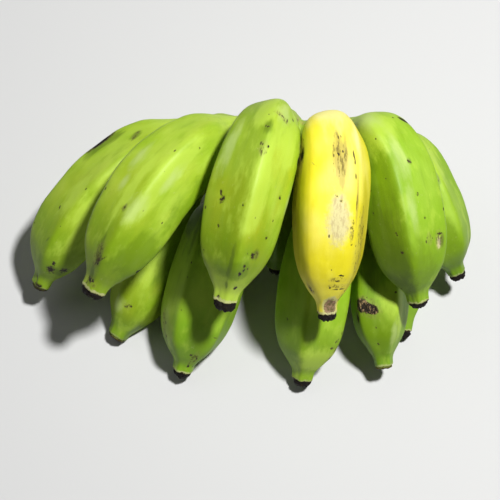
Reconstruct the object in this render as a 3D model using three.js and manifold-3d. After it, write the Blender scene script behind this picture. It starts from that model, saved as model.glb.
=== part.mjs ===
// A hand of short, stout cooking bananas, as picked: two rows of fingers on one crown, palm down on a table.
// Millimetres, +Z up. The origin is the middle of the hand's footprint, on the table.
//
// The hand is modelled in its own frame, the group `hand`: its origin is on the axis of the stem that it
// was cut from, half way up the crown. +X runs across the hand, -Y along the stem to the fingertips, and
// +Z out of the stem over the back of the hand. The group is then leaned until crown and fingertips lie down.
import * as THREE from "three";
import { mergeVertices } from "three/addons/utils/BufferGeometryUtils.js";
import Module from "manifold-3d";

const wasm = await Module();
wasm.setup();

const REST_LEAN = 22; // degrees that the stem's axis dips towards the fingertips as the hand lies
const GAP = 0.3; // clear space between two pieces that grew together
const SIDES = 20; // corners round a finger, four to each of its five faces
const RINGS = 17; // rings along a finger
const RING_CROWDING = 0.09; // how much closer together the rings stand at the neck
const FACES = 5;
const FACE_SHARPNESS = 4.2; // 2 would be a round fruit, over 20 a sharp pentagon

// Radius along a finger: shares of its length against shares of its girth, then of its neck's radius.
const PROFILE = [
  [0.0, 0.36],
  [0.09, 0.33],
  [0.17, 0.44],
  [0.25, 0.72],
  [0.34, 0.88],
  [0.46, 0.98],
  [0.58, 1.0],
  [0.7, 0.97],
  [0.78, 0.9],
  [0.85, 0.76],
  [0.9, 0.57],
];
const NECK_PROFILE = [
  [0.935, 1.35],
  [0.965, 1.07],
  [1.0, 1.0],
];
const FLOWER = { sides: 10, share: 0.95 }; // share of the neck's radius

// The crown: the cushion of stem tissue that the fingers grow from, with the hollowed face where it was cut.
const CROWN = { radius: 38, from: -80, to: 82, hollow: 5, height: 38, bevel: 4, middle: -7 };
const STUB = { foot: 31, swell: 1.25, sides: 12 }; // under each stalk, from foot mm off the stem's axis

// How far from the stem's axis the stalks of each row leave the crown, and how steeply they climb as they do.
const ROWS = {
  outer: { radius: 48, climb: 0.06 },
  inner: { radius: 46, climb: -0.3 },
};

// fan and rise: where round the stem, in degrees, and how high on the crown a finger is rooted.
// aim and reach: which way and how far its stalk runs on. girth: its largest radius.
// roll: turns its five faces. tip: the end of its neck. lean and dive: degrees that the neck points towards
// -X and down into the palm. haul: how far the line of the neck is felt up the finger. neck: its radius.
// flower: the length of the dried flower.
const OUTER = [
  { fan: -50, rise: 13.5, aim: -54, reach: 35, girth: 18.2, roll: 30,
    tip: [-127, -67, 35], lean: 27, dive: 20, haul: 52, neck: 4.8, flower: 1.6 },
  { fan: -23, rise: 11.5, aim: -42, reach: 46, girth: 19.1, roll: 30,
    tip: [-95, -68, 80], lean: 31, dive: 15, haul: 52, neck: 6.2, flower: 3 },
  { fan: -5, rise: 14.5, aim: -12, reach: 56, girth: 19.2, roll: 15,
    tip: [-32, -73, 93], lean: 14, dive: 14, haul: 58, neck: 6, flower: 4 },
  { fan: 13.5, rise: 9, aim: 13, reach: 60, girth: 18, roll: 25,
    tip: [16, -79, 87], lean: -1, dive: 14, haul: 62, neck: 4.8, flower: 3.2 },
  { fan: 31, rise: 11, aim: 36, reach: 46, girth: 18.5, roll: -41,
    tip: [61, -74, 71], lean: -12, dive: 14, haul: 62, neck: 5.2, flower: 3 },
  { fan: 52, rise: 6.5, aim: 52, reach: 37, girth: 17, roll: -20,
    tip: [85, -61, 35.5], lean: -28, dive: 16, haul: 46, neck: 4.6, flower: 3 },
];
const INNER = [
  { fan: -58, rise: -12, aim: -70, reach: 22, girth: 14.6, roll: 20,
    tip: [-88.5, -93, 32.5], lean: 34, dive: 6, haul: 52, neck: 4.8, flower: 1.2 },
  { fan: -28, rise: -12, aim: -28, reach: 22, girth: 18.5, roll: -4,
    tip: [-54.5, -110, 42], lean: 18, dive: 14, haul: 52, neck: 5.2, flower: 4 },
  { fan: -6, rise: -12, aim: -6, reach: 20, girth: 10.5, roll: 0,
    tip: [-7, -58, 32], lean: 4, dive: 24, haul: 40, neck: 4.4, flower: 3 },
  { fan: 16, rise: -12, aim: 16, reach: 23, girth: 17.4, roll: -30,
    tip: [6, -114, 43], lean: 9, dive: 16, haul: 52, neck: 5.2, flower: 3.5 },
  { fan: 45, rise: -12, aim: 50, reach: 25, girth: 14.9, roll: -15,
    tip: [46.5, -107, 48], lean: -8, dive: 4, haul: 52, neck: 4.6, flower: 1 },
  { fan: 76, rise: -12, aim: 78, reach: 13, girth: 10.8, roll: 0,
    tip: [58, -91, 31], lean: 0, dive: -4, haul: 52, neck: 4.2, flower: 3 },
];
const RIPE = "outer_finger_4";
const FINGERS = [
  ...OUTER.map((finger, i) => ({ ...finger, row: "outer", name: `outer_finger_${i + 1}` })),
  ...INNER.map((finger, i) => ({ ...finger, row: "inner", name: `inner_finger_${i + 1}` })),
];

const rad = THREE.MathUtils.degToRad;
const greenPeel = new THREE.MeshStandardMaterial({ color: 0x93b52e, roughness: 0.42, metalness: 0 });
const yellowPeel = new THREE.MeshStandardMaterial({ color: 0xe8d226, roughness: 0.42, metalness: 0 });
const crownTissue = new THREE.MeshStandardMaterial({ color: 0x8fa544, roughness: 0.6, metalness: 0 });
const driedFlower = new THREE.MeshStandardMaterial({ color: 0x2b1c16, roughness: 0.9, metalness: 0 });

// Keeps only the positions, each one once, which is what a closed solid needs.
function closed(geometry) {
  geometry.deleteAttribute("normal");
  geometry.deleteAttribute("uv");
  return mergeVertices(geometry, 1e-4);
}

function toManifold(geometry) {
  const { attributes, index } = closed(geometry);
  const mesh = { numProp: 3, vertProperties: attributes.position.array, triVerts: index.array };
  return new wasm.Manifold(new wasm.Mesh(mesh));
}

function fromManifold(manifold) {
  const mesh = manifold.getMesh();
  return new THREE.BufferGeometry()
    .setAttribute("position", new THREE.BufferAttribute(mesh.vertProperties, 3))
    .setIndex(new THREE.BufferAttribute(mesh.triVerts, 1));
}

// The direction out of the stem at a number of degrees round it.
function outward(degrees) {
  return new THREE.Vector3(Math.sin(rad(degrees)), 0, Math.cos(rad(degrees)));
}

// Where a finger's stalk leaves the crown, and which way it sets off.
function rootOf(finger) {
  const row = ROWS[finger.row];
  return {
    place: outward(finger.fan).multiplyScalar(row.radius).setY(finger.rise),
    heading: outward(finger.aim).setY(row.climb).normalize(),
  };
}

function tipHeading({ lean, dive }) {
  const level = Math.cos(rad(dive));
  return new THREE.Vector3(-Math.sin(rad(lean)) * level, -Math.cos(rad(lean)) * level, -Math.sin(rad(dive)));
}

function centrelineOf(finger) {
  const { place, heading } = rootOf(finger);
  const start = place.clone().addScaledVector(heading, GAP);
  const tip = new THREE.Vector3(...finger.tip);
  return new THREE.CubicBezierCurve3(
    start,
    start.clone().addScaledVector(heading, finger.reach),
    tip.clone().addScaledVector(tipHeading(finger), -finger.haul),
    tip,
  );
}

// A finger's radius as a function of the share of its length, read off a smooth curve through its profile.
function radiusOf({ girth, neck }) {
  const belly = PROFILE.map(([along, share]) => new THREE.Vector2(along, share * girth));
  const bottleNeck = NECK_PROFILE.map(([along, share]) => new THREE.Vector2(along, share * neck));
  const points = new THREE.SplineCurve([...belly, ...bottleNeck]).getPoints(400);
  return (along) => {
    const next = Math.max(1, points.findIndex((point) => point.x >= along));
    const [a, b] = [points[next - 1], points[next]];
    return THREE.MathUtils.mapLinear(along, a.x, b.x, a.y, b.y);
  };
}

// Distance from axis to skin of a unit fruit with five soft faces, at an angle from one of its ridges.
function section(angle) {
  let sum = 0;
  for (let face = 0; face < FACES; face++) {
    const fromFace = angle - (2 * Math.PI * (face + 0.5)) / FACES;
    sum += Math.max(0, Math.cos(fromFace)) ** FACE_SHARPNESS;
  }
  return sum ** (-1 / FACE_SHARPNESS);
}

// A finger: a cylinder bent along its centreline and swollen to its profile, stalk first.
function fingerGeometry(finger) {
  const centreline = centrelineOf(finger);
  const radiusAt = radiusOf(finger);
  const ridge = section(0);
  const across = new THREE.Vector3().crossVectors(rootOf(finger).heading, tipHeading(finger)).normalize();
  const geometry = new THREE.CylinderGeometry(1, 1, 1, SIDES, RINGS - 1);
  const position = geometry.attributes.position;
  const p = new THREE.Vector3();
  for (let i = 0; i < position.count; i++) {
    p.fromBufferAttribute(position, i);
    const ring = 0.5 - p.y;
    const along = Math.min(1, ring + RING_CROWDING * ring * Math.sin(Math.PI * ring));
    const tangent = centreline.getTangentAt(along);
    const side = across.clone().addScaledVector(tangent, -across.dot(tangent)).normalize();
    const back = new THREE.Vector3().crossVectors(tangent, side);
    const angle = Math.atan2(p.x, p.z);
    const radius = (Math.hypot(p.x, p.z) * radiusAt(along) * section(angle)) / ridge;
    const turned = angle + rad(finger.roll);
    p.copy(centreline.getPointAt(along))
      .addScaledVector(back, radius * Math.cos(turned))
      .addScaledVector(side, radius * Math.sin(turned));
    position.setXYZ(i, p.x, p.y, p.z);
  }
  return closed(geometry);
}

// The dried remains of the flower: a short, slightly waisted plug.
function flowerGeometry(finger) {
  const radius = finger.neck * FLOWER.share;
  const half = finger.flower / 2;
  const profile = [
    [0, -half],
    [radius * 0.8, -half],
    [radius, -half * 0.2],
    [radius * 0.92, half],
    [0, half],
  ];
  const points = profile.map(([r, y]) => new THREE.Vector2(r, y));
  return closed(new THREE.LatheGeometry(points, FLOWER.sides));
}

// The crown: a rounded half-moon with a cushion under each stalk.
function crownGeometry() {
  const { radius, from, to, hollow, height, bevel, middle } = CROWN;
  const rim = radius - bevel;
  const start = new THREE.Vector2(Math.sin(rad(to)), Math.cos(rad(to))).multiplyScalar(rim);
  const halfMoon = new THREE.Shape().absarc(0, 0, rim, rad(90 - to), rad(90 - from), false);
  halfMoon.quadraticCurveTo(0, start.y + 2 * (bevel + hollow), start.x, start.y);
  const cushion = new THREE.ExtrudeGeometry(halfMoon, {
    depth: height - 2 * bevel,
    bevelThickness: bevel,
    bevelSize: bevel,
    bevelSegments: 2,
    curveSegments: 14,
  });
  cushion.translate(0, 0, bevel - height / 2);
  cushion.rotateX(Math.PI / 2);
  cushion.translate(0, middle, 0);
  return fromManifold(FINGERS.map(stubOf).reduce((crown, stub) => crown.add(stub), toManifold(cushion)));
}

// The cushion under one stalk, ending in a flat face that the stalk sits on.
function stubOf(finger) {
  const { place, heading } = rootOf(finger);
  const length = ROWS[finger.row].radius - STUB.foot;
  const radius = finger.girth * PROFILE[0][1];
  const stub = new THREE.CylinderGeometry(radius, radius * STUB.swell, length, STUB.sides, 1);
  stub.applyQuaternion(new THREE.Quaternion().setFromUnitVectors(new THREE.Vector3(0, 1, 0), heading));
  stub.translate(...place.addScaledVector(heading, -length / 2));
  return toManifold(stub);
}

function named(name, geometry, material) {
  const mesh = new THREE.Mesh(geometry, material);
  mesh.name = name;
  return mesh;
}

const hand = new THREE.Group();
hand.add(named("crown", crownGeometry(), crownTissue));
for (const finger of FINGERS) {
  hand.add(named(finger.name, fingerGeometry(finger), finger.name === RIPE ? yellowPeel : greenPeel));
  const heading = tipHeading(finger);
  const flower = named(finger.name.replace("finger", "blossom_end"), flowerGeometry(finger), driedFlower);
  flower.quaternion.setFromUnitVectors(new THREE.Vector3(0, -1, 0), heading);
  flower.position.set(...finger.tip).addScaledVector(heading, GAP + finger.flower / 2);
  hand.add(flower);
}

// Lean the hand as it lies, then set it on the table with the middle of its footprint at the origin.
hand.rotation.x = rad(REST_LEAN);
const part = new THREE.Group().add(hand);
const box = new THREE.Box3().setFromObject(part, true);
hand.position.set(-(box.min.x + box.max.x) / 2, -(box.min.y + box.max.y) / 2, -box.min.z);

export default part;
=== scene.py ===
"""The looks of a hand of bananas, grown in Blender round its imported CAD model.

Each finger is read back from its CAD solid as a centreline, its radii and the turn of its five faces, and is
grown again as a fine skin with soft ridges, dents and marks. The crown is the CAD crown melted into the
stalks. A dried flower is a crumpled plug on the end of each neck. Lengths are millimetres until a mesh is
made. In the tables angles are degrees.
"""

import functools
import itertools
import math

import bpy
import numpy as np
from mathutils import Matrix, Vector
from mathutils.bvhtree import BVHTree


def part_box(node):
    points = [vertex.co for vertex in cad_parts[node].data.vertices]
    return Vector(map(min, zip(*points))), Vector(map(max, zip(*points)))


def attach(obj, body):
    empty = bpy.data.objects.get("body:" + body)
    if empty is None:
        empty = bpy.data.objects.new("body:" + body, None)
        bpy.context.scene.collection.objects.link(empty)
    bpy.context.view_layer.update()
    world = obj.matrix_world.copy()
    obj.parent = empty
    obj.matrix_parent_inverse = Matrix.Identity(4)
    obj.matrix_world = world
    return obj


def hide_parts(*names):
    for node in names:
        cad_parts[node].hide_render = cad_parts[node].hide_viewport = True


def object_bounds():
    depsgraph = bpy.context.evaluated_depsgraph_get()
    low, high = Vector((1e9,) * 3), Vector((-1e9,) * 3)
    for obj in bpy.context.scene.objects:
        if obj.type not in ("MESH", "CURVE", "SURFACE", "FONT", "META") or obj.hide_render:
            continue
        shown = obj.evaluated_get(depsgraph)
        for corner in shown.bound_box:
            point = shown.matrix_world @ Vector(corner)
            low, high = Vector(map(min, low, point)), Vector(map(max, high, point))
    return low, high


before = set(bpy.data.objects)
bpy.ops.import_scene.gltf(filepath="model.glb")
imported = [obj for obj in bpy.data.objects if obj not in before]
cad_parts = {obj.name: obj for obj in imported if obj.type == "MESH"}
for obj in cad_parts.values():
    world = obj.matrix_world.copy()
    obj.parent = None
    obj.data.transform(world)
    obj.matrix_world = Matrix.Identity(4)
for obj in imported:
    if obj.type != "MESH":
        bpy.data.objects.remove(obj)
cad_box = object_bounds()

MM = 0.001  # metres
TURN = 2 * math.pi
FACES = 5
HAND_LEAN = math.radians(22)  # how far the stem's axis dips towards the fingertips
ACROSS_HAND = np.array([1.0, 0.0, 0.0])
ALONG_STEM = np.array([0.0, math.cos(HAND_LEAN), math.sin(HAND_LEAN)])
OUT_OF_STEM = np.array([0.0, -math.sin(HAND_LEAN), math.cos(HAND_LEAN)])

# Fingers: corners round one, and the spacing of its rings.
FINE = {"outer": (156, 0.62), "inner": (100, 0.85)}
ROOT_TUCK = 2.0  # how far a finger reaches back into the crown
PLUMP = 0.97  # a finger's mean radius as a share of the CAD model's to its ridges
ROUND = 3  # how sharply faceted a stalk is, where it is nearly round
FLOOR_GAP = 0.05  # between the floor and the lowest skin
OUTSIDE = -0.5  # what a mark's nearness is well away from it

# The end of a neck: its rounded rim, with its rings by degrees round the rounding, and the cup inside it.
RIM = 0.8
RIM_BENDS = (15, 32, 50, 68, 90)
CUP_DEPTHS = np.array([0.15, 0.3, 0.35])
CUP_SHARES = (0.75, 0.5, 0.2)  # of the radius

RIPE = "outer_finger_4"
ROUNDER = 0.55  # how much less sharply faceted the ripe finger is

# Each finger's own traits: how far it has turned from lime green (to 1 for yellower, to -1 for greener), how
# cream the rim of its neck is, how pointed its dried flower is, how much of that is a fresh scar instead, and
# the tones of its neck and of its five faces, from -1 for deep to 1 for pale. The tones of the neck and the
# faces are partly the peel's own colour and partly painted light and shade: painted shade such as over all of
# inner_finger_3 and on a face of outer_finger_5, painted light such as over all of inner_finger_2. The faces
# are in the order in which the degrees round it rise from its first ridge.
TRAITS = {
    "outer_finger_1": (0.3, 0.15, 0.2, 0.35, -0.2, (0.1, 0, 0, -0.1, 0)),
    "outer_finger_2": (0.35, 0.7, 0.1, 0, 0, (0.1, -0.3, 0, 0.1, 0.15)),
    "outer_finger_3": (0.85, 1, 0.1, 0, 0.9, (0.15, 0.2, 0, 0.1, -0.55)),
    "outer_finger_4": (0, 0.7, 0.2, 0, 1, (-0.15, 0, 0, 0, 0.1)),
    "outer_finger_5": (-0.4, 0.4, 0.8, 0, -0.15, (-0.35, -0.4, 0, -1, -0.35)),
    "outer_finger_6": (-0.3, 0.3, 0.1, 0, -0.9, (-0.5, -0.5, 0, 0, 0)),
    "inner_finger_1": (0.6, 0.15, 0.1, 1, -0.4, (-0.1, -0.4, 0, 0, 0.2)),
    "inner_finger_2": (-0.7, 0.5, 1, 0, 0, (0.6, 0.4, 0.5, 0.6, 0.8)),
    "inner_finger_3": (0, 0.1, 0.4, 0, -1, (-1, -1, -1, -1, -1)),
    "inner_finger_4": (-0.3, 0.3, 0.4, 0, 0, (0.15, 0, 0, 0, -0.1)),
    "inner_finger_5": (-0.6, 0.3, 0, 1, -0.35, (-0.2, -0.2, 0, 0, -0.6)),
    "inner_finger_6": (-0.6, 0.4, 0.4, 0, -0.2, (0, 0, 0, 0, 0)),
}

# Broad dents (above 0 mm deep) and swellings (below 0) by finger: share of the finger's length, degrees
# round it from its outer side, length, width and depth.
DENTS = {
    "outer_finger_1": [(0.4, -40, 50, 44, 1.2), (0.8, -50, 30, 40, -0.8)],
    "outer_finger_2": [(0.33, -60, 34, 34, 2.0)],
    "outer_finger_3": [(0.27, 10, 26, 30, -1.0), (0.37, -80, 44, 34, 3.4), (0.76, 88, 60, 28, 1.8)],
    "outer_finger_4": [(0.24, 75, 26, 36, 1.0)],
    "outer_finger_5": [(0.32, 62, 40, 34, 1.4), (0.22, -5, 28, 36, -1.3)],
    "outer_finger_6": [(0.46, 20, 40, 50, 2.4)],
    "inner_finger_1": [(0.75, -25, 40, 30, -2.2)],
    "inner_finger_2": [(0.75, -70, 50, 30, -1.6), (0.8, 85, 40, 30, 1.2), (0.22, -60, 40, 40, -2.5)],
}

# Marks by kind and finger: share of the finger's length, degrees round it from its outer side, length and
# width, then any degrees that the length leans round the finger.
MARKS = {
    # These marks are partly wax bloom and partly painted highlight and reflection.
    "wax_and_painted_highlight": {
        "outer_finger_1": [(0.25, 42, 16, 12)],
        "outer_finger_2": [
            (0.52, -18, 20, 9), (0.61, -13, 12, 6), (0.66, 33, 22, 11), (0.53, 50, 22, 7),
            (0.63, 112, 30, 5), (0.77, 112, 22, 4),
        ],
        "outer_finger_3": [(0.47, -42, 32, 10), (0.6, 86, 20, 5), (0.33, 30, 14, 14)],
        "outer_finger_4": [(0.29, -8, 28, 34), (0.4, 30, 20, 8)],
        "outer_finger_5": [(0.6, -28, 26, 7), (0.43, -28, 26, 12), (0.28, -35, 16, 14)],
        "outer_finger_6": [(0.55, -60, 20, 6), (0.84, 14, 20, 3)],
        "inner_finger_1": [(0.83, 22, 12, 9)],
        "inner_finger_2": [(0.78, -44, 28, 14)],
        "inner_finger_4": [(0.72, 62, 24, 5)],
        "inner_finger_5": [(0.86, -20, 24, 5)],
    },
    # The pale marks are painted light.
    "pale": {
        "outer_finger_1": [(0.62, 66, 56, 24), (0.6, 20, 24, 16)],
        "outer_finger_2": [(0.55, 38, 60, 14), (0.62, 8, 40, 8)],
        "outer_finger_3": [(0.6, 24, 46, 15), (0.42, 58, 34, 16), (0.34, 2, 24, 14), (0.95, 4, 14, 30)],
        "outer_finger_4": [(0.94, -40, 16, 22)],
        "outer_finger_5": [(0.29, -42, 40, 28)],
        "outer_finger_6": [(0.34, -14, 36, 24)],
        "inner_finger_2": [(0.78, -40, 34, 18)],
        "inner_finger_4": [(0.87, 10, 20, 30)],
        "inner_finger_5": [(0.72, -10, 60, 11), (0.68, -28, 34, 18)],
    },
    # The dark marks are painted shade, such as over all of inner_finger_3.
    "dark": {
        "outer_finger_1": [(0.325, 4, 8, 5, 20)],
        "outer_finger_2": [(0.8, 82, 34, 22), (0.54, 98, 60, 12)],
        "outer_finger_3": [(0.86, 14, 12, 22)],
        "outer_finger_4": [(0.68, 58, 60, 14), (0.6, -84, 70, 8)],
        "outer_finger_5": [(0.73, -78, 60, 30), (0.84, -46, 34, 28), (0.88, -20, 18, 24)],
        "outer_finger_6": [(0.93, -20, 24, 40), (0.78, -60, 50, 26)],
        "inner_finger_1": [(0.45, 100, 70, 22)],
        "inner_finger_2": [(0.22, 10, 50, 80)],
        "inner_finger_3": [(0.5, 0, 140, 200)],
        "inner_finger_5": [(0.83, -60, 36, 30), (0.76, -100, 20, 14), (0.46, -80, 50, 34)],
    },
    "bruise": {
        "outer_finger_1": [(0.425, -39, 20, 5)],
        "outer_finger_3": [(0.44, 88, 7, 3.5)],
        "outer_finger_4": [(0.425, -76, 8, 6)],
        "outer_finger_5": [(0.31, 27, 6, 3, 40), (0.722, 18, 2.4, 1.1, 90)],
        "inner_finger_5": [(0.757, -101, 5, 4)],
        "inner_finger_2": [(0.84, -42, 3, 1.6)],
    },
    "scab": {
        "inner_finger_5": [(0.697, -85, 8, 7, 60), (0.71, -74, 10, 5.5, 70), (0.716, -66, 5, 6, 30)],
    },
    "scuff": {
        "outer_finger_4": [(0.64, -3, 24, 14), (0.59, -5, 12, 9)],
        "outer_finger_5": [(0.755, 15, 7, 2.6)],
    },
    "fleck": {
        "outer_finger_1": [(0.325, 3, 9, 4, 40)],
        "outer_finger_2": [(0.855, 14, 16, 7, -6), (0.68, 18, 4, 3), (0.965, 0, 6, 14)],
        "outer_finger_3": [(0.79, 52, 5, 5), (0.475, 16, 8, 5), (0.355, 30, 3, 12), (0.38, 84, 8, 4)],
        "outer_finger_4": [
            (0.445, -3, 10, 12), (0.41, -6, 8, 6), (0.48, -5, 9, 8), (0.845, 4, 4, 10), (0.87, 6, 3, 12),
            (0.71, 46, 38, 13), (0.67, 18, 14, 3), (0.892, -64, 6, 5), (0.4, -78, 24, 9),
        ],
        "outer_finger_5": [(0.745, 16, 12, 6), (0.73, -4, 8, 4)],
        "outer_finger_6": [(0.455, -28, 6, 3.5)],
        "inner_finger_1": [(0.82, 42, 4, 5)],
        "inner_finger_2": [(0.78, -52, 16, 4), (0.9, 45, 12, 5)],
        "inner_finger_4": [(0.84, 42, 12, 4)],
        "inner_finger_5": [(0.7, -78, 18, 11, 60), (0.75, -100, 7, 6)],
    },
    "scratch": {
        "outer_finger_1": [(0.965, 10, 7, 0.9, 35), (0.985, 22, 0.9, 6)],
        "outer_finger_2": [(0.85, 17, 8, 1.3, 12), (0.875, 18, 9, 1.4, -25), (0.865, 25, 9, 1.0, -38)],
        "outer_finger_3": [
            (0.354, 25, 10, 0.9, 103), (0.345, 41, 2.8, 0.9, 20), (0.363, 9, 2.6, 1.0, -35),
            (0.615, -33, 4, 1.0, 20),
        ],
        "outer_finger_4": [
            (0.465, 20, 6, 1.1), (0.5, 21, 3.5, 1.0), (0.44, 18, 4, 0.7, 8), (0.575, 23, 9, 0.7),
            (0.94, 52, 9, 1.0, 30), (0.475, -42, 5, 0.5, 55), (0.66, 19, 4, 0.9, 25), (0.885, 12, 1, 9),
        ],
        "outer_finger_5": [(0.455, -12, 3, 1.2, 60)],
        "inner_finger_2": [(0.77, 62, 4, 0.8, 90)],
        "inner_finger_4": [(0.73, 42, 3, 1.2, -10), (0.77, 37, 3.6, 1.7, -25), (0.805, 32, 2.2, 1.8, -60)],
    },
    "spot": {
        "outer_finger_1": [
            (0.893, 60, 5, 5), (0.872, 90, 4.4, 4), (0.86, 58, 2.6, 2.4), (0.68, 7, 2, 1.4, 20),
            (0.325, 4, 1.3, 1.1), (0.992, 40, 3, 5),
        ],
        "outer_finger_2": [
            (0.68, 18, 1.3, 1.1), (0.385, 48, 1.1, 1.0), (0.845, 104, 3, 2.4), (0.885, 20, 1.8, 1.5),
            (0.962, 4, 3.4, 2.6), (0.955, 22, 2, 1.6), (0.54, 112, 1.6, 1.2),
        ],
        "outer_finger_3": [
            (0.635, -28, 4, 2.4, -30), (0.613, -33, 2.4, 1.5, 30), (0.722, -26, 1.8, 1.3),
            (0.795, 43, 3.2, 3), (0.79, 32, 1.4, 1.4), (0.41, 14, 1.3, 1.2), (0.835, 33, 2, 1.8),
            (0.852, 35, 2.2, 1.6), (0.868, 30, 3, 2, 20), (0.845, 44, 1.4, 1.2), (0.93, 38, 2.2, 2.2),
            (0.73, 62, 1.6, 1.5), (0.59, 67, 2, 1.8), (0.98, -30, 2, 1.8), (0.465, 22, 1.3, 1.2),
            (0.41, 88, 1.8, 1.6), (0.31, 52, 2, 2), (0.64, 8, 1.2, 1.2),
        ],
        "outer_finger_4": [
            (0.573, -1, 1.4, 1.3), (0.56, -8, 1.2, 1.2), (0.828, 8, 1.2, 3), (0.85, 2, 1.0, 3.4),
            (0.878, -11, 1.4, 1.3), (0.7, 50, 2, 1.6), (0.715, 19, 1.6, 1.4), (0.64, 19, 1.5, 1.3),
            (0.9, 42, 2, 1.6), (0.925, 55, 2.6, 2), (0.94, 46, 2, 1.6), (0.66, 58, 1.8, 1.2),
            (0.445, -6, 1.6, 1.4), (0.438, 2, 1.4, 1.2), (0.892, -64, 2.6, 1.8),
        ],
        "outer_finger_5": [
            (0.455, -13, 1.4, 1.5), (0.565, -14, 1.9, 1.7), (0.69, -60, 2.2, 1.6), (0.76, -56, 2, 1.8),
            (0.72, 17, 1.6, 3.4), (0.65, -8, 1.4, 1.4),
        ],
        "outer_finger_6": [(0.455, -30, 2, 1.8), (0.37, -58, 1.4, 2.4)],
        "inner_finger_1": [(0.822, 40, 2, 1.8), (0.81, 50, 1.6, 1.4)],
        "inner_finger_2": [
            (0.91, -30, 2.4, 1.6, 20), (0.885, 32, 1.8, 1.8), (0.955, 42, 2, 1.6), (0.9, 52, 1.5, 1.4),
            (0.78, -44, 1.8, 1.4),
        ],
        "inner_finger_4": [(0.86, 42, 2, 1.4, -30), (0.7, -70, 1.6, 1.6)],
        "inner_finger_5": [(0.88, -62, 1.6, 1.5), (0.8, -60, 1.6, 1.3)],
    },
    # The smears are partly brown stains and partly painted shade, as where they are large on inner_finger_2,
    # inner_finger_3, outer_finger_5 and inner_finger_5.
    "smear_and_painted_shade": {
        "outer_finger_1": [
            (0.79, 25, 5, 1.6, -20), (0.893, 74, 6, 12), (0.42, -30, 26, 8), (0.325, 4, 8, 3, 35),
        ],
        "outer_finger_2": [(0.85, 15, 20, 6, 8), (0.68, 18, 5, 3), (0.93, 6, 14, 4)],
        "outer_finger_3": [(0.83, 8, 22, 2.8, -3), (0.41, 14, 8, 5), (0.79, 50, 7, 6), (0.92, 5, 7, 2)],
        "outer_finger_4": [
            (0.43, -78, 24, 10), (0.455, -3, 22, 10), (0.515, 0, 7, 3), (0.56, 24, 26, 2.5),
            (0.888, -64, 8, 5),
        ],
        "outer_finger_5": [(0.455, -12, 4, 3), (0.745, 22, 10, 3), (0.76, -80, 60, 26)],
        "outer_finger_6": [(0.455, -28, 8, 5)],
        "inner_finger_2": [(0.86, -46, 16, 3), (0.22, 0, 50, 90)],
        "inner_finger_3": [(0.6, 0, 140, 200)],
        "inner_finger_5": [(0.46, -84, 44, 26)],
    },
    "scar": {
        "outer_finger_4": [(0.965, 2, 10, 7, 10)],
    },
}
RAGGED = ("bruise", "scab", "scuff", "fleck", "scar")  # the kinds with a torn outline

# How far the skin stands out, by what lifts it.
LIFTS = {
    "waves": 0.5, "lumps": 0.2, "grain": 0.05, "ridge": 0.12, "scab": 0.25, "crust": 0.5,
    "stalk lumps": 0.25, "stalk ribs": 0.16, "neck ribs": 0.06,
}
RIBS = 11  # round a neck or stalk
# How deep the skin sinks in some marks, and the nearness at which it is that deep.
SINKS = {"bruise": (0.3, 0.8), "spot": (0.12, 0.5), "scratch": (0.18, 0.6), "scar": (0.25, 0.4)}


def unit(vector):
    return vector / np.linalg.norm(vector, axis=-1, keepdims=True)


def ease(value, low, high):
    """0 at low and before, 1 at high and past it, smooth between."""
    share = np.clip((value - low) / (high - low), 0, 1)
    return share * share * (3 - 2 * share)


def lumps(places, size, seed):
    """Smooth noise, from about -1 to 1 at each place, in lumps of that size."""
    pulls = unit(np.random.default_rng(seed).normal(size=(256, 3)))
    cell, within = np.divmod(places / size, 1)
    blend = within**3 * (within * (within * 6 - 15) + 10)
    total = 0
    for corner in itertools.product((0, 1), repeat=3):
        x, y, z = np.moveaxis(cell.astype(np.int64) + corner, -1, 0)
        # Large primes scramble a cell's corner into the number of its pull.
        key = (x * 73856093) ^ (y * 19349663) ^ (z * 83492791)
        key = (key ^ (key >> 13)) * 1274126177
        pull = pulls[(key ^ (key >> 16)) & 255]
        share = np.prod(np.where(corner, blend, 1 - blend), axis=-1)
        total = total + share * ((within - corner) * pull).sum(-1)
    return 1.6 * total


def curve_through(stations, values, slopes, where):
    """A smooth curve through values at stations, with those slopes, read at where."""
    after = np.clip(np.searchsorted(stations, where), 1, len(stations) - 1)
    gap = stations[after] - stations[after - 1]
    t = (where - stations[after - 1]) / gap
    shares = [
        2 * t**3 - 3 * t**2 + 1,
        (t**3 - 2 * t**2 + t) * gap,
        3 * t**2 - 2 * t**3,
        (t**3 - t**2) * gap,
    ]
    parts = [values[after - 1], slopes[after - 1], values[after], slopes[after]]
    widened = [share.reshape(share.shape + (1,) * (values.ndim - 1)) for share in shares]
    return sum(share * part for share, part in zip(widened, parts))


def ringed(around, *rows):
    """Each row of values by ring as a grid with that many corners round a ring, and the corners' angles."""
    grids = [np.repeat(row[:, None], around, axis=1) for row in rows]
    return *grids, np.broadcast_to(TURN * np.arange(around) / around, grids[0].shape)


def spokes(back, side, angle):
    """The directions out of a centreline at angles from its back towards its side."""
    return back * np.cos(angle)[..., None] + side * np.sin(angle)[..., None]


# ---- Reading the frame ----


def corners_and_triangles(node):
    """A CAD node's corners, each once, and its triangles as numbers of corners."""
    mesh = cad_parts[node].data
    mesh.calc_loop_triangles()
    places = np.array([vertex.co for vertex in mesh.vertices]) / MM
    triangles = np.array([triangle.vertices for triangle in mesh.loop_triangles])
    _, first, which = np.unique(np.round(places, 4), axis=0, return_index=True, return_inverse=True)
    return places[first], which.reshape(-1)[triangles]


def middle(node):
    """The middle of a CAD node's box."""
    low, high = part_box(node)
    return np.array((low + high) / 2) / MM


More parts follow.
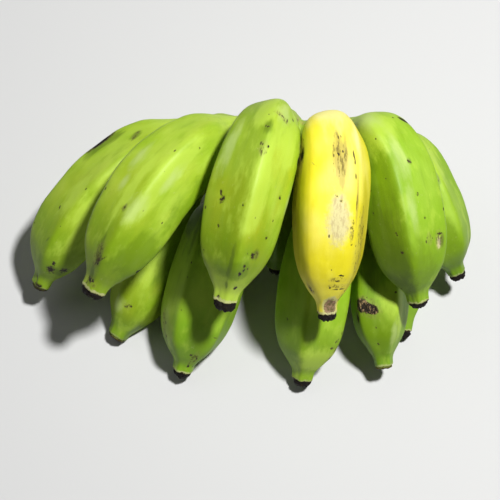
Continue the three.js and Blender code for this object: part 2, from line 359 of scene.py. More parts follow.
def rings_of(node, tip):
    """The rings of corners of a finger's CAD solid, from its stalk to its tip."""
    corners, triangles = corners_and_triangles(node)
    beside = [set() for _ in corners]
    for a, b, c in triangles.tolist():
        beside[a] |= {b, c}
        beside[b] |= {a, c}
        beside[c] |= {a, b}
    # The middle points of the two flat ends have the most neighbours.
    ends = sorted(range(len(corners)), key=lambda i: len(beside[i]))[-2:]
    start = max(ends, key=lambda i: np.linalg.norm(corners[i] - tip))
    rings, seen, ring = [], {start}, beside[start]
    while len(ring) > 1:
        rings.append(corners[sorted(ring)])
        seen |= ring
        ring = set().union(*(beside[i] for i in ring)) - seen
    return rings


class Finger:
    """A finger of the CAD model: its centreline, its radii, how its faces are turned, and its own traits."""

    def __init__(self, name, seed):
        self.name, self.seed = name, seed
        self.row = name.split("_")[0]
        self.flower = name.replace("finger", "blossom_end")
        rings = rings_of(name, middle(self.flower))
        self.spine = np.array([ring.mean(0) for ring in rings])
        steps = np.linalg.norm(np.diff(self.spine, axis=0), axis=1)
        self.stations = np.concatenate([[0], np.cumsum(steps)])
        self.length = self.stations[-1]
        self.ways = np.array([self.way_of(ring, i) for i, ring in enumerate(rings)])
        self.radii = np.array([np.linalg.norm(r - c, axis=1).max() for r, c in zip(rings, self.spine)])
        self.across = unit(np.cross(self.ways[0], self.ways[-1]))
        self.turn = self.turn_of(rings[len(rings) // 2], len(rings) // 2)
        luck = np.random.default_rng(seed)
        self.face_turns = TURN * (np.arange(FACES) + 0.5) / FACES + np.radians(luck.uniform(-5, 5, FACES))
        self.face_sizes = luck.uniform(0.975, 1.025, FACES)
        self.sharpness = luck.uniform(11, 14) * (ROUNDER if name == RIPE else 1)
        self.olive, self.rim, self.point, self.fresh, self.neck, self.face_tones_and_painted_light = TRAITS[name]

    def way_of(self, ring, i):
        """The direction square to a ring, towards the tip."""
        way = np.linalg.svd(ring - ring.mean(0))[2][-1]
        after = min(i + 1, len(self.spine) - 1)
        return way * np.sign(way @ (self.spine[after] - self.spine[after - 1]))

    def turn_of(self, ring, i):
        """The angle of a ridge from the finger's outer side, from the farthest corners of a ring."""
        side = unit(self.across - (self.across @ self.ways[i]) * self.ways[i])
        back = np.cross(self.ways[i], side)
        arms = ring - self.spine[i]
        reach = np.linalg.norm(arms, axis=1)
        ridges = arms[reach > 0.995 * reach.max()]
        angles = np.arctan2(ridges @ side, ridges @ back)
        return np.angle(np.exp(1j * FACES * angles).mean()) / FACES

    def bones(self, along):
        """Centre, back and side of the finger at distances along it."""
        centre = curve_through(self.stations, self.spine, self.ways, along)
        bending = np.gradient(self.ways, self.stations, axis=0)
        way = unit(curve_through(self.stations, self.ways, bending, along))
        side = unit(self.across - (way @ self.across)[..., None] * way)
        return centre, np.cross(way, side), side

    def radius(self, along):
        """Mean radius at distances along the finger."""
        slopes = np.gradient(self.radii, self.stations)
        return PLUMP * curve_through(self.stations, self.radii, slopes, np.clip(along, 0, self.length))

    def section(self, share, angle):
        """The shape of cuts across the finger, 1 from the middle on average, with five soft faces."""
        belly = ease(share, 0.18, 0.4) * (1 - 0.6 * ease(share, 0.78, 0.93))
        sharpness = ROUND + (self.sharpness - ROUND) * belly
        facing = np.maximum(0, np.cos(angle[..., None] - self.face_turns)) / self.face_sizes
        section = (facing ** sharpness[..., None]).sum(-1) ** (-1 / sharpness)
        return section / section.mean(1, keepdims=True)

    def ridge(self, angle):
        """1 on a ridge and 0 in the middle of a face."""
        apart = np.abs((angle[..., None] - self.face_turns + TURN / 2) % TURN - TURN / 2)
        nearest = np.partition(apart, 1, axis=-1)
        return np.clip(1 - (nearest[..., 1] - nearest[..., 0]) * FACES / TURN, 0, 1)

    def tone(self, share, angle):
        """The painted light and shade of the faces at each place, partly their own tone, from -1 to 1. Pale
        faces stop at the neck, dark ones don't.
        """
        facing = np.maximum(0, np.cos(angle[..., None] - self.face_turns)) ** 40
        face = (facing * self.face_tones_and_painted_light).sum(-1) / facing.sum(-1)
        fading = np.where(face > 0, ease(share, 0.85, 0.6), 1)
        return face * ease(share, 0.1, 0.3) * fading

    def reach(self, along, angle, radius, share, degrees, length, width, lean=0):
        """How far each place is from the middle of an oval on the skin, in half lengths and widths of it."""
        up = along - share * self.length
        right = radius * ((angle + self.turn - math.radians(degrees) + TURN / 2) % TURN - TURN / 2)
        cos, sin = math.cos(math.radians(lean)), math.sin(math.radians(lean))
        return np.hypot((right * cos - up * sin) / (width / 2), (up * cos + right * sin) / (length / 2))

    def nearness(self, kind, along, angle, radius):
        """How far inside a mark of that kind each place is: 1 in its middle, 0 at its edge."""
        near = np.full(angle.shape, OUTSIDE)
        for oval in MARKS[kind].get(self.name, []):
            near = np.maximum(near, 1 - self.reach(along, angle, radius, *oval))
        return near

    def dents(self, along, angle, radius):
        """Depth of the finger's broad dents at each place."""
        depth = 0 * along
        for *oval, most in DENTS.get(self.name, []):
            depth = depth + most * np.exp(-(self.reach(along, angle, radius, *oval) ** 2))
        return depth


# ---- Making pieces ----


def closed_skin(rings):
    """Places and faces of the closed solid whose skin runs through rings, with a middle point at each end."""
    count, around = rings.shape[:2]
    here = np.arange(count * around).reshape(count, around)
    beside = np.roll(here, -1, axis=1)
    quads = np.stack([here[:-1], here[1:], beside[1:], beside[:-1]], -1).reshape(-1, 4)
    root, tip = count * around, count * around + 1
    root_fan = [(root, a, b) for a, b in zip(here[0].tolist(), beside[0].tolist())]
    tip_fan = [(tip, b, a) for a, b in zip(here[-1].tolist(), beside[-1].tolist())]
    return with_ends(rings), quads.tolist() + root_fan + tip_fan


def with_ends(values):
    """A value for each corner of closed_skin, from a grid of them by ring."""
    flat = values.reshape(-1, *values.shape[2:])
    return np.concatenate([flat, values[[0, -1]].mean(1)])


def piece(name, places, faces, material, node, marks):
    """A smooth mesh that stands for a CAD node, with its marks as attributes of its corners."""
    mesh = bpy.data.meshes.new(name)
    mesh.from_pydata((places * MM).tolist(), [], faces)
    for key, values in marks.items():
        kind, field = ("FLOAT_VECTOR", "vector") if values.ndim == 2 else ("FLOAT", "value")
        mesh.attributes.new(key, kind, "POINT").data.foreach_set(field, values.astype(np.float32).ravel())
    mesh.shade_smooth()
    mesh.materials.append(material)
    made = bpy.data.objects.new(name, mesh)
    bpy.context.scene.collection.objects.link(made)
    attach(made, "root")
    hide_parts(node)


def settled(places):
    """Places with none below the floor: what would sink into it is pressed flat."""
    return np.concatenate([places[..., :2], np.maximum(places[..., 2:], FLOOR_GAP)], -1)


# ---- Fingers ----


def skin_grid(finger):
    """Distance along the finger, inset, shrinking of the radius and angle of each corner of the skin."""
    around, spacing = FINE[finger.row]
    body = np.arange(-ROOT_TUCK, finger.length - RIM, spacing)
    bends = np.radians(RIM_BENDS)
    along = np.concatenate([body, finger.length - RIM * (1 - np.sin(bends)), finger.length - CUP_DEPTHS])
    inset = np.concatenate([0 * body, RIM * (1 - np.cos(bends)), RIM + 0 * CUP_DEPTHS])
    shrink = np.concatenate([0 * body + 1, 0 * bends + 1, CUP_SHARES])
    return ringed(around, along, inset, shrink)


def relief(finger, places, along, angle, radius, near):
    """How far the skin stands out of the plain shape at each place."""
    share, seed = along / finger.length, finger.seed
    belly = ease(share, 0.18, 0.4) * (1 - ease(share, 0.78, 0.92))
    neck = LIFTS["neck ribs"] * ease(share, 0.88, 0.96)
    stalk = 1 - ease(share, 0.05, 0.25)
    ribs = np.cos(angle * RIBS + 3 * lumps(places, 22, seed + 1))
    out = LIFTS["waves"] * lumps(places, 27, seed) * belly - finger.dents(along, angle, radius)
    out += LIFTS["lumps"] * lumps(places, 10, seed + 2) + LIFTS["grain"] * lumps(places, 3.5, seed + 5)
    out += LIFTS["ridge"] * finger.ridge(angle) ** 24 * belly + (neck + LIFTS["stalk ribs"] * stalk) * ribs
    out += LIFTS["stalk lumps"] * lumps(places, 5, seed + 3) * stalk
    out += ease(near["scab"], 0, 0.3) * (LIFTS["scab"] + LIFTS["crust"] * lumps(places, 1.8, seed + 4))
    for kind, (depth, full) in SINKS.items():
        out -= depth * ease(near[kind], 0, full)
    return out


def grow_finger(finger, material):
    """A finger's skin, from inside the crown to the cup at the end of its neck."""
    along, inset, shrink, angle = skin_grid(finger)
    share = along / finger.length
    centre, back, side = finger.bones(along)
    spoke = spokes(back, side, angle + finger.turn)
    plain = finger.radius(along)
    radius = plain * finger.section(share, angle)
    near = {kind: finger.nearness(kind, along, angle, radius) for kind in MARKS}
    lift = relief(finger, centre + spoke * radius[..., None], along, angle, radius, near)
    radius = (radius + lift - inset) * shrink
    places, faces = closed_skin(settled(centre + spoke * radius[..., None]))

    marks = {
        "skin": np.stack([plain * np.cos(angle), plain * np.sin(angle), along], -1),
        "along": share,
        "ridge": finger.ridge(angle),
        "to_tip": finger.length - along + 0.6 * inset,
        # tone and neck carry the painted light and shade of the faces and the neck, partly their own colour
        "tone": finger.tone(share, angle),
        **{trait: 0 * along + getattr(finger, trait) for trait in ("olive", "rim", "fresh", "neck")},
        **near,
    }
    marks = {key: with_ends(values) for key, values in marks.items()}
    piece(finger.name + "_peel", places, faces, material, finger.name, marks)


# ---- Dried flowers ----

FLOWER = {"around": 84, "sunk": 1.0, "spacing": 0.25, "rings": 26, "highest": math.radians(86)}
# How rough it is: folds and bulges are shares of its radius, and tears of its height.
CRUMPLES = {"folds": 0.07, "bulges": 0.12, "tears": 0.3, "lumps": 0.4, "grain": 0.16}


def flower_profile(point, reach):
    """Heights and shares of the width up a dried flower: a knob at point 0, and nearly a cone at point 1."""
    sunk = np.arange(-FLOWER["sunk"], 0, FLOWER["spacing"])
    turn = np.linspace(0, FLOWER["highest"], FLOWER["rings"])
    height = reach * np.sin(turn) ** (0.8 + 0.4 * point)
    bulge = 0.92 + 0.08 * (1 - point) * np.sin(2 * turn)
    share = bulge * np.cos(turn) ** (0.5 + 0.9 * point)
    return np.concatenate([sunk, height]), np.concatenate([0.9 + 0 * sunk, share])


def crumpled(finger, reach, width, height, share, angle):
    """The places on a dried flower's skin, folded, torn at the top and rough all over."""
    seed = finger.seed + 40
    tip, way = finger.spine[-1], finger.ways[-1]
    _, back, side = (x[0] for x in finger.bones(np.array([finger.length])))
    spoke = spokes(back, side, angle + finger.turn)
    rough = tip + spoke * (width * share)[..., None] + way * height[..., None]
    up = np.clip(height / max(reach, 1), 0, 1)
    folds = lumps(np.stack([4 * np.cos(angle), 4 * np.sin(angle), 0.35 * height], -1), 1.1, seed)
    bulges = lumps(rough, 6, seed + 1) * up
    radius = width * share * (1 + CRUMPLES["folds"] * folds + CRUMPLES["bulges"] * bulges)
    radius += share * CRUMPLES["lumps"] * lumps(rough, 1.5, seed + 4)
    torn = CRUMPLES["tears"] * min(reach, 3) * lumps(rough + 3 * spoke, 3.2, seed + 2) * ease(up, 0.3, 1)
    lift = np.minimum(height + torn, reach + 0.4)
    places = tip + spoke * radius[..., None] + way * lift[..., None]
    return places + CRUMPLES["grain"] * lumps(places, 0.8, seed + 3)[..., None] * (spoke + way)


def grow_flower(finger, material):
    """The dried flower: a charred, crumpled knob that bulges out of the end of the neck."""
    corners, _ = corners_and_triangles(finger.flower)
    arms = corners - finger.spine[-1]
    heights = arms @ finger.ways[-1]
    reach = heights.max()
    width = np.linalg.norm(arms - heights[:, None] * finger.ways[-1], axis=1).max()
    height, share, angle = ringed(FLOWER["around"], *flower_profile(finger.point, reach))
    places, faces = closed_skin(settled(crumpled(finger, reach, width, height, share, angle)))
    marks = {
        "skin": with_ends(np.stack([6 * np.cos(angle) * share, 6 * np.sin(angle) * share, height], -1)),
        "height": with_ends(height),
        "fresh": with_ends(0 * height + finger.fresh),
    }
    piece(finger.flower + "_dried", places, faces, material, finger.flower, marks)


# ---- The crown ----

COLLAR = {"from": -9.0, "to": 11.0, "rings": 15, "around": 40, "swell": 1.9, "sink": 0.9}
MELT = {"voxel": 0.95, "factor": 0.5, "smoothing": 22}
# Where the cut face ends: how squarely it faces away from the stem, and how far it is to its side and deep.
CUT = {"facing": (0.55, 0.85), "aside": (33, 37), "depth": (16, 20)}


def collar(finger):
    """A closed sleeve round the foot of a stalk: it swells into the crown and dives under the skin."""
    along = np.linspace(COLLAR["from"], COLLAR["to"], COLLAR["rings"])
    share = ease(along, COLLAR["from"] * 0.3, COLLAR["to"])
    radius = finger.radius(along) + COLLAR["swell"] - share * (COLLAR["swell"] + COLLAR["sink"])
    grid, angle = ringed(COLLAR["around"], along)
    centre, back, side = finger.bones(grid)
    return closed_skin(centre + spokes(back, side, angle) * radius[:, None, None])


def melted(solids):
    """Places, faces and outward directions of one skin over closed solids that run into each other."""
    places, faces = [], []
    for more_places, more_faces in solids:
        start = sum(len(x) for x in places)
        places.append(more_places)
        faces += [[start + i for i in face] for face in more_faces]
    mesh = bpy.data.meshes.new("melt")
    mesh.from_pydata((np.concatenate(places) * MM).tolist(), [], faces)
    rough = bpy.data.objects.new("melt", mesh)
    bpy.context.scene.collection.objects.link(rough)
    remesh = rough.modifiers.new("skin over", "REMESH")
    remesh.mode, remesh.voxel_size = "VOXEL", MELT["voxel"] * MM
    smooth = rough.modifiers.new("melt", "SMOOTH")
    smooth.factor, smooth.iterations = MELT["factor"], MELT["smoothing"]
    done = bpy.data.meshes.new_from_object(rough.evaluated_get(bpy.context.evaluated_depsgraph_get()))
    places = np.array([vertex.co for vertex in done.vertices]) / MM
    outward = np.array([vertex.normal for vertex in done.vertices])
    faces = [list(polygon.vertices) for polygon in done.polygons]
    bpy.data.objects.remove(rough)
    bpy.data.meshes.remove(done)
    return places, faces, outward


def cut_share(places):
    """How much each place of the crown belongs to the face where it was cut from the stem, from 0 to 1."""
    corners, triangles = corners_and_triangles("crown")
    tree = BVHTree.FromPolygons(corners.tolist(), triangles.tolist())
    facing = np.array([-Vector(OUT_OF_STEM).dot(tree.find_nearest(place)[1]) for place in places.tolist()])
    aside = np.abs((places - corners.mean(0)) @ ACROSS_HAND)
    depth = places @ OUT_OF_STEM - (corners @ OUT_OF_STEM).min()
    return ease(facing, *CUT["facing"]) * (1 - ease(aside, *CUT["aside"])) * (1 - ease(depth, *CUT["depth"]))


def grow_crown(fingers, material):
    """The crown: a cushion of stem tissue with a collar round each stalk, and fibrous where it was cut."""
    corners, triangles = corners_and_triangles("crown")
    places, faces, outward = melted([(corners, triangles.tolist())] + [collar(finger) for finger in fingers])
    cut = cut_share(places)
    out = 0.55 * lumps(places, 9, 900) + 0.2 * lumps(places, 3.5, 901)
    fibres = places * [1, 0.5, 0.5]
    out = out * (1 - 0.6 * cut) + cut * (0.45 * lumps(fibres, 2.2, 902) + 0.3 * lumps(places, 5, 903))
    places = places + outward * out[:, None]
    piece("crown_tissue", places, faces, material, "crown", {"skin": places, "cut": cut})


# ---- Materials ----


class Finish:
    """A material's nodes, added one at a time. Most of the methods return the socket of their result."""

    def __init__(self, name):
        self.material = bpy.data.materials.new(name)
        self.material.use_nodes = True
        self.tree = self.material.node_tree

    def put(self, socket, value):
        if isinstance(value, bpy.types.NodeSocket):
            self.tree.links.new(value, socket)
        elif socket.type == "RGBA":
            socket.default_value = (*value, 1.0)
        else:
            socket.default_value = value

    def node(self, kind, values, **settings):
        made = self.tree.nodes.new("ShaderNode" + kind)
        for key, value in settings.items():
            setattr(made, key, value)
        for key, value in values.items():
            self.put(made.inputs[key], value)
        return made

    def mark(self, name):
        """A number that the mesh holds at each corner."""
        return self.node("Attribute", {}, attribute_name=name).outputs["Fac"]

    def places(self, lengthwise=1.0, crosswise=1.0):
        """The mesh's own coordinates in millimetres. Shares below 1 draw patterns out along or across it."""
        own = self.node("Attribute", {}, attribute_name="skin").outputs["Vector"]
        squeeze = (crosswise, crosswise, lengthwise)
        return self.node("VectorMath", {0: own, 1: squeeze}, operation="MULTIPLY").outputs[0]

    def maths(self, operation, a, b=0.0, c=0.0):
        return self.node("Math", {0: a, 1: b, 2: c}, operation=operation).outputs[0]

    def plus(self, a, b):
        return self.maths("ADD", a, b)

    def times(self, *factors):
        return functools.reduce(lambda a, b: self.maths("MULTIPLY", a, b), factors)

    def highest(self, *values):
        return functools.reduce(lambda a, b: self.maths("MAXIMUM", a, b), values)

    def times_plus(self, value, factor, more):
        return self.maths("MULTIPLY_ADD", value, factor, more)

    def swing(self, noise, reach, middle=0.5):
        """Noise made to swing round 0, with that reach from its lowest to its highest."""
        return self.times_plus(noise, reach, -reach * middle)

    def ease(self, value, low, high):
        """0 at low, 1 at high, smooth between. low may be the larger."""
        values = {"Value": value, "From Min": low, "From Max": high}
        return self.node("MapRange", values, interpolation_type="SMOOTHSTEP").outputs["Result"]

    def noise(self, places, size, detail=2.0, roughness=0.5):
        values = {"Vector": places, "Scale": 1 / size, "Detail": detail, "Roughness": roughness}
        return self.node("TexNoise", values).outputs["Fac"]

    def cells(self, places, size, feature="F1"):
        values = {"Vector": places, "Scale": 1 / size}
        return self.node("TexVoronoi", values, feature=feature)

    def mix(self, share, a, b):
        """Colour a turning into colour b by a share, which counts as 0 where it is below 0."""
        return self.node("Mix", {0: share, 6: a, 7: b}, data_type="RGBA").outputs[2]

    def over(self, tone, colour, *shares):
        """A tone with a colour laid over it, as strongly as the product of the shares."""
        return self.mix(self.times(*shares), tone, colour)

    def dots(self, places, size, chance, radius):
        """1 in the dots of some cells of a pattern. chance is a share of the cells, and radius of a cell."""
        cell = self.cells(places, size)
        luck = self.node("SeparateColor", {0: cell.outputs["Color"]})
        own = self.times_plus(luck.outputs[1], radius, 0.35 * radius)
        dot = self.ease(cell.outputs["Distance"], own, self.times(own, 0.55))
        return self.times(dot, self.maths("LESS_THAN", luck.outputs[0], chance))

    def surface(self, tone, roughness, shine, height, depth):
        """Finishes the material. Its relief bends the light as one of that depth in millimetres would."""
        bump = self.node("Bump", {"Height": height, "Distance": depth * MM, "Strength": 1.0})
        shader = self.tree.nodes["Principled BSDF"].inputs
        self.put(shader["Base Color"], tone)
        self.put(shader["Roughness"], roughness)
        self.put(shader["Normal"], bump.outputs["Normal"])
        self.put(shader["Specular IOR Level"], shine)
        return self.material


# Linear colours. The palettes are for green peel and for ripe peel.
# In both palettes light also serves as painted light, stain as brown stain and painted shade, and bloom as
# wax bloom and painted highlight.
GREEN = {
    "face": (0.28, 0.45, 0.014),
    "pale": (0.39, 0.54, 0.05),
    "deep": (0.14, 0.245, 0.003),
    "olive": (0.37, 0.43, 0.012),
    "leaf": (0.19, 0.43, 0.014),
    "ridge": (0.21, 0.35, 0.008),
    "stalk": (0.28, 0.38, 0.04),
    "light": (0.44, 0.61, 0.06),
    "wax_and_painted_highlight": (0.46, 0.57, 0.2),
    "stain_and_painted_shade": (0.088, 0.15, 0.006),
    "neck": (0.07, 0.19, 0.014),
}
YELLOW = {
    "face": (0.78, 0.69, 0.016),
    "pale": (0.82, 0.73, 0.12),
    "deep": (0.58, 0.5, 0.012),
    "olive": (0.72, 0.67, 0.03),
    "leaf": (0.6, 0.62, 0.03),
    "ridge": (0.66, 0.56, 0.015),
    "stalk": (0.42, 0.48, 0.07),
    "light": (0.86, 0.78, 0.06),
    "wax_and_painted_highlight": (0.85, 0.82, 0.42),
    "stain_and_painted_shade": (0.4, 0.31, 0.05),
    "neck": (0.5, 0.5, 0.04),
}
BARK = (0.06, 0.04, 0.013)
SOOT = (0.01, 0.007, 0.006)
TAN = (0.36, 0.24, 0.11)
CREAM = (0.55, 0.53, 0.26)
CHALK = (0.66, 0.6, 0.33)
MAUVE = (0.27, 0.15, 0.1)
CHESTNUT = (0.14, 0.07, 0.05)
FRESH_SCAR = (0.12, 0.14, 0.02)
DRIED_FLESH = (0.3, 0.2, 0.09)


class Peel(Finish):
    """Banana peel: waxy, streaked along the finger, darker on its ridges and towards its neck, with marks,
    and with painted light and shade on its faces, its neck and its pale and dark marks, and painted
    highlights in its wax marks.

    Each method that takes a tone lays some things over it and returns the new tone.
    """

    def __init__(self, name, palette, flecks):
        super().__init__(name)
        self.palette, self.flecks = palette, flecks
        self.skin, self.along, self.ridge = self.places(), self.mark("along"), self.mark("ridge")
        self.streaked = self.places(0.16)
        self.streak = self.noise(self.streaked, 2.4, 4, 0.6)
        self.fine = self.noise(self.skin, 1.1, 3, 0.6)
        ragged = self.swing(self.noise(self.skin, 2.2, 4, 0.65), 0.9)
        self.inside = {kind: self.plus(self.mark(kind), ragged) for kind in RAGGED}

    def tint(self, tone, name, *shares):
        """A tone with a colour of the palette laid over it."""
        return self.over(tone, self.palette[name], *shares)

    def turned(self, tone):
        """Olive in patches, or leaf green all over, as far as the finger has turned."""
        patchy = self.ease(self.noise(self.places(0.5), 17, 3), 0.36, 0.66)
        tone = self.tint(tone, "olive", patchy, self.mark("olive"))
        return self.tint(tone, "leaf", self.mark("olive"), -1.0)

    def by_length(self, tone):
        """Paler towards the stalk and deeper towards the neck."""
        tone = self.tint(tone, "pale", self.ease(self.along, 0.42, 0.14), 0.7)
        return self.tint(tone, "deep", self.ease(self.along, 0.6, 0.84), 0.5)

    def by_face(self, tone):
        """The tones of the faces, streaked: partly the peel's own colour and partly painted light and shade.
        """
        face = self.plus(self.mark("tone"), self.swing(self.noise(self.streaked, 7, 3), 0.5))
        tone = self.tint(tone, "light", self.ease(face, 0.1, 0.9), 0.75)
        return self.tint(tone, "deep", self.ease(face, -0.1, -0.9), 0.8)

    def by_neck(self, tone):
        """The neck's tone, partly its own colour and partly painted light and shade, then darker ridges, then
        the stalk.
        """
        neck = self.times(self.ease(self.along, 0.83, 0.94), self.mark("neck"))
        tone = self.tint(tone, "light", neck, 0.8)
        tone = self.tint(tone, "neck", neck, -0.95)
        tone = self.tint(tone, "ridge", self.ease(self.ridge, 0.78, 1.0), 0.3)
        return self.tint(tone, "stalk", self.ease(self.along, 0.12, 0.03))

    def grained(self, tone):
        """Streaks, a fine grain and dapples."""
        tone = self.tint(tone, "deep", self.ease(self.streak, 0.52, 0.8), 0.3)
        tone = self.tint(tone, "pale", self.ease(self.fine, 0.55, 0.85), 0.16)
        dapple = self.noise(self.places(0.45), 6.5, 4, 0.55)
        tone = self.tint(tone, "ridge", self.ease(dapple, 0.5, 0.66), 0.38)
        return self.tint(tone, "light", self.ease(dapple, 0.48, 0.32), 0.35)

    def painted_light_shade_and_stains(self, tone):
        """Painted light in the pale marks and painted shade in the dark marks, with cloudy edges, then
        streaky dark smears, partly brown stains and partly painted shade.
        """
        self.clouds = self.swing(self.noise(self.places(0.4), 5, 4, 0.6), 1.6)
        # The pale marks paint light and the dark marks paint shade.
        for kind, name in (("pale", "light"), ("dark", "deep")):
            cloud = self.ease(self.plus(self.mark(kind), self.clouds), 0.0, 0.55)
            tone = self.tint(tone, name, cloud, 0.7)
        # The smears paint brown stains and, where large, painted shade.
        smear_and_painted_shade = self.plus(self.mark("smear_and_painted_shade"), self.swing(self.streak, 1.4))
        return self.tint(tone, "stain_and_painted_shade", self.ease(smear_and_painted_shade, -0.05, 0.6), 0.68)

    def bloomed(self, tone):
        """A waxy haze off the ridges, and a whitish colour in the wax marks, which are partly bloom and
        partly painted highlights and reflections.
        """
        hazy = self.ease(self.noise(self.streaked, 6, 3), 0.45, 0.75)
        haze = self.times(hazy, self.ease(self.ridge, 0.9, 0.3), 0.14)
        # The wax marks lay on bloom and painted highlights.
        wax = self.ease(self.plus(self.mark("wax_and_painted_highlight"), self.clouds), 0.0, 0.9)
        self.wax_and_painted_highlight = self.times(self.highest(haze, wax), 0.5)
        return self.tint(tone, "wax_and_painted_highlight", self.wax_and_painted_highlight)

    def scuffed(self, tone):
        """Rubbed to a chalky skin, with tan scrapes."""
        self.scuff = self.times(self.ease(self.inside["scuff"], -0.1, 0.6), 0.85)
        tone = self.over(tone, CHALK, self.scuff)
        scraped = self.ease(self.noise(self.places(0.4), 1.2, 4, 0.7), 0.46, 0.62)
        return self.over(tone, TAN, scraped, self.scuff, 0.5)

    def specked(self, tone):
        """A few brown specks anywhere, and a crowd of specks and blotches in the marks called fleck."""
        spaced = self.places(0.6)
        small = self.dots(spaced, 5.5, self.flecks, 0.085)
        large = self.dots(self.skin, 11, self.flecks, 0.055)
        fleck = self.ease(self.inside["fleck"], 0.0, 0.35)
        crowd = self.times(self.dots(spaced, 1.3, 0.6, 0.3), fleck)
        mottled = self.ease(self.noise(self.places(0.3), 1.5, 4, 0.7), 0.49, 0.6)
        blotch = self.times(mottled, self.ease(self.inside["fleck"], 0.05, 0.6), 0.8)
        self.specks = self.highest(small, large, crowd, blotch)
        tone = self.over(tone, TAN, fleck, 0.14)
        return self.over(tone, BARK, self.specks, 0.85)

    def spotted(self, tone):
        """Spots: brown, black in the middle, each in a darker patch of peel."""
        tone = self.tint(tone, "deep", self.ease(self.mark("spot"), OUTSIDE, 0.3), 0.35)
        spot = self.plus(self.mark("spot"), self.swing(self.fine, 2.6, 0.52))
        tone = self.over(tone, BARK, self.ease(spot, 0.05, 0.3), 0.93)
        return self.over(tone, SOOT, self.ease(spot, 0.35, 0.6))

    def bruised(self, tone):
        """Bruises, black in the middle, and broken scratches."""
        self.bruise = self.ease(self.inside["bruise"], 0.0, 0.5)
        tone = self.over(tone, BARK, self.bruise, 0.9)
        tone = self.over(tone, SOOT, self.ease(self.inside["bruise"], 0.35, 0.7))
        broken = self.ease(self.noise(self.places(0.5), 1.6, 3, 0.6), 0.36, 0.5)
        return self.over(tone, BARK, self.ease(self.mark("scratch"), 0.0, 0.35), broken, 0.9)

    def scabbed(self, tone):
        """A crust, black and brown with tan threads."""
        self.scab = self.ease(self.inside["scab"], 0.0, 0.2)
        crust = self.mix(self.ease(self.noise(self.skin, 0.9, 4, 0.7), 0.42, 0.7), SOOT, BARK)
        threads = self.ease(self.noise(self.places(0.5), 1.3, 3, 0.7), 0.51, 0.62)
        return self.over(tone, self.mix(threads, crust, TAN), self.scab)

    def scarred(self, tone):
        """A sunken scar, mauve and brown in a cream ring."""
        self.scar = self.ease(self.inside["scar"], 0.0, 0.2)
        tone = self.over(tone, CREAM, self.ease(self.inside["scar"], -0.4, -0.05), 0.7)
        healed = self.mix(self.ease(self.noise(self.skin, 1.4, 4, 0.65), 0.42, 0.62), MAUVE, BARK)
        return self.over(tone, healed, self.scar, 0.9)

    def ended(self, tone):
        """The neck's end: a cream rim, and char round a dried flower."""
        self.end = self.plus(self.mark("to_tip"), self.swing(self.noise(self.skin, 1.6, 3, 0.6), -2.6))
        rim = self.mark("rim")
        rimmed = self.times_plus(rim, -1.4, self.end)
        tone = self.over(tone, CREAM, self.ease(rimmed, 1.1, 0.2), self.ease(rim, -0.3, 0.7), 0.75)
        dried_up = self.swing(self.mark("fresh"), -1.0, 1.0)
        return self.over(tone, BARK, self.ease(self.end, 0.8, 0.4), dried_up)

    def roughness(self):
        """Waxy, and dull where the peel is marked and where it ends."""
        marked = self.highest(self.scab, self.bruise, self.scuff, self.scar, self.times(self.specks, 0.7))
        dull = self.highest(marked, self.ease(self.end, 1.6, 0.6))
        return self.times_plus(dull, 0.34, self.times_plus(self.plus(self.wax_and_painted_highlight, self.fine), 0.12, 0.46))

    def height(self):
        """Streaks and a fine grain, with pits for specks and a cracked crust on a scab."""
        height = self.times_plus(self.streak, 0.25, self.times(self.noise(self.skin, 0.55, 3, 0.6), 0.35))
        height = self.times_plus(self.specks, -0.35, height)
        cracks = self.cells(self.places(0.7), 1.7, "DISTANCE_TO_EDGE").outputs["Distance"]
        return self.plus(height, self.times(self.ease(cracks, 0.0, 0.35), self.scab, 2.5))


def peel(name, palette, flecks):
    """The finished peel: its broad colour, then what grows in it with the painted light, shade and
    highlights, then what has happened to it.
    """
    f = Peel(name, palette, flecks)
    tone = f.mix(f.ease(f.noise(f.skin, 24, 2), 0.38, 0.68), palette["face"], palette["pale"])
    grown = (f.turned, f.by_length, f.by_face, f.by_neck, f.grained, f.painted_light_shade_and_stains, f.bloomed)
    marred = (f.scuffed, f.specked, f.spotted, f.bruised, f.scabbed, f.scarred, f.ended)
    for lay_over in grown + marred:
        tone = lay_over(tone)
    return f.surface(tone, f.roughness(), 0.28, f.height(), 0.2)


def dried():
    """Dried flower: black and fibrous, brown in its folds, or an olive scar where it came off clean."""
    f = Finish("dried flower")
    fibre = f.noise(f.places(0.35, 1.6), 0.8, 4, 0.7)
    grain = f.noise(f.places(), 1.5, 4, 0.65)
    tone = f.mix(f.ease(grain, 0.55, 0.8), SOOT, BARK)
    tone = f.over(tone, CHESTNUT, f.ease(fibre, 0.66, 0.8), 0.25)
    tip = f.times_plus(grain, 1.6, f.mark("height"))
    tone = f.mix(f.mark("fresh"), tone, f.mix(f.ease(tip, 0.9, 1.6), FRESH_SCAR, BARK))
    return f.surface(tone, f.times_plus(grain, 0.3, 0.5), 0.15, f.plus(fibre, grain), 0.4)


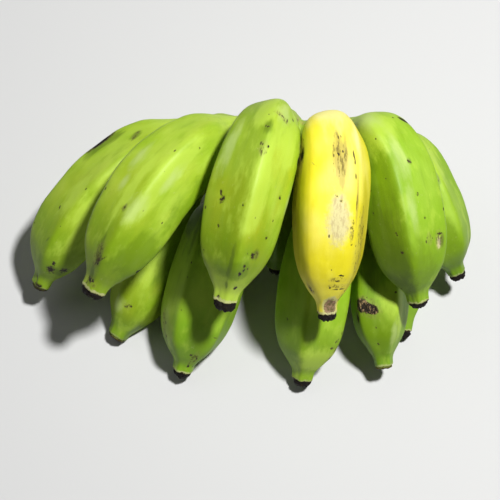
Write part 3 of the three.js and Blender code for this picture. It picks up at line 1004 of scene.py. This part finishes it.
def crown_finish():
    """Stalk tissue outside, and on the cut a cream, fibrous face that has browned and dried from its rim."""
    f = Finish("crown")
    skin = f.places()
    broad, fine = f.noise(skin, 14, 3), f.noise(skin, 1.6, 4, 0.65)
    tone = f.mix(f.ease(broad, 0.35, 0.7), GREEN["stalk"], GREEN["face"])
    tone = f.over(tone, TAN, f.ease(f.times_plus(fine, 0.5, broad), 0.78, 0.98), 0.7)
    tone = f.over(tone, BARK, f.dots(skin, 4.5, 0.35, 0.12), 0.8)

    cut = f.plus(f.mark("cut"), f.swing(fine, 0.5))
    open_face = f.ease(cut, 0.4, 0.55)
    flesh = f.mix(f.ease(f.noise(skin, 7, 4, 0.6), 0.4, 0.65), CREAM, DRIED_FLESH)
    vessels = f.dots(skin, 2.1, 0.7, 0.2)
    tone = f.mix(open_face, tone, f.over(flesh, BARK, vessels, 0.75))
    tone = f.over(tone, BARK, f.ease(cut, 0.25, 0.5), f.ease(cut, 0.95, 0.6), 0.85)
    height = f.plus(fine, f.times(vessels, open_face, -1.5))
    return f.surface(tone, f.times_plus(open_face, 0.3, 0.5), 0.5, height, 0.45)


def floor_finish():
    """A pale, matt floor."""
    f = Finish("pale floor")
    shader = f.tree.nodes["Principled BSDF"].inputs
    f.put(shader["Base Color"], (0.58, 0.58, 0.575))
    f.put(shader["Roughness"], 0.9)
    return f.material


# ---- Stage, light and camera ----

# All in metres and watts.
FLOOR_SIZE = 8.0
CAMERA = {"distance": 0.7, "view_width": 0.25, "aim": (0.0, -0.006, -0.021)}
KEY = {"right": 0.38, "up": 0.45, "distance": 1.1, "size": 0.12, "watts": 18.0}
FILL = {"right": -0.9, "up": 0.8, "distance": 1.3, "size": 1.0, "watts": 1.6}
SKY = {"Color": (0.97, 0.985, 1.0, 1.0), "Strength": 0.05}


def lay_floor():
    half = FLOOR_SIZE / 2
    mesh = bpy.data.meshes.new("floor")
    corners = [(-half, -half, 0), (half, -half, 0), (half, half, 0), (-half, half, 0)]
    mesh.from_pydata(corners, [], [range(4)])
    mesh.materials.append(floor_finish())
    floor = bpy.data.objects.new("floor", mesh)
    bpy.context.scene.collection.objects.link(floor)


def hang(name, data, centre, right, up, distance):
    """Puts a lamp or camera at a distance from a centre, facing it, right and up in the camera's view."""
    made = bpy.data.objects.new(name, data)
    direction = Vector(OUT_OF_STEM) + right * Vector(ACROSS_HAND) + up * Vector(ALONG_STEM)
    direction.normalize()
    made.location = centre + direction * distance
    made.rotation_mode = "QUATERNION"
    made.rotation_quaternion = direction.to_track_quat("Z", "Y")
    bpy.context.scene.collection.objects.link(made)
    return made


def hang_light(name, centre, right, up, distance, size, watts):
    light = bpy.data.lights.new(name, "AREA")
    light.shape, light.size, light.energy = "DISK", size, watts
    hang(name, light, centre, right, up, distance)


def set_stage():
    """The floor, two lamps, the sky and the camera."""
    scene = bpy.context.scene
    scene.view_settings.view_transform = "Standard"
    lay_floor()
    centre = (cad_box[0] + cad_box[1]) / 2
    hang_light("key", centre, **KEY)
    hang_light("fill", centre, **FILL)
    scene.world = bpy.data.worlds.new("soft sky")
    scene.world.use_nodes = True
    for key, value in SKY.items():
        scene.world.node_tree.nodes["Background"].inputs[key].default_value = value
    camera = bpy.data.cameras.new("camera")
    camera.lens = camera.sensor_width * CAMERA["distance"] / CAMERA["view_width"]
    scene.camera = hang("camera", camera, centre + Vector(CAMERA["aim"]), 0, 0, CAMERA["distance"])


# ---- The hand ----

set_stage()
green, yellow = peel("green peel", GREEN, 0.42), peel("yellow peel", YELLOW, 0.36)
plug, tissue = dried(), crown_finish()
names = [f"{row}_finger_{number}" for row in ("outer", "inner") for number in range(1, 7)]
fingers = [Finger(name, 100 * number) for number, name in enumerate(names, 1)]
for finger in fingers:
    grow_finger(finger, yellow if finger.name == RIPE else green)
    grow_flower(finger, plug)
grow_crown(fingers, tissue)
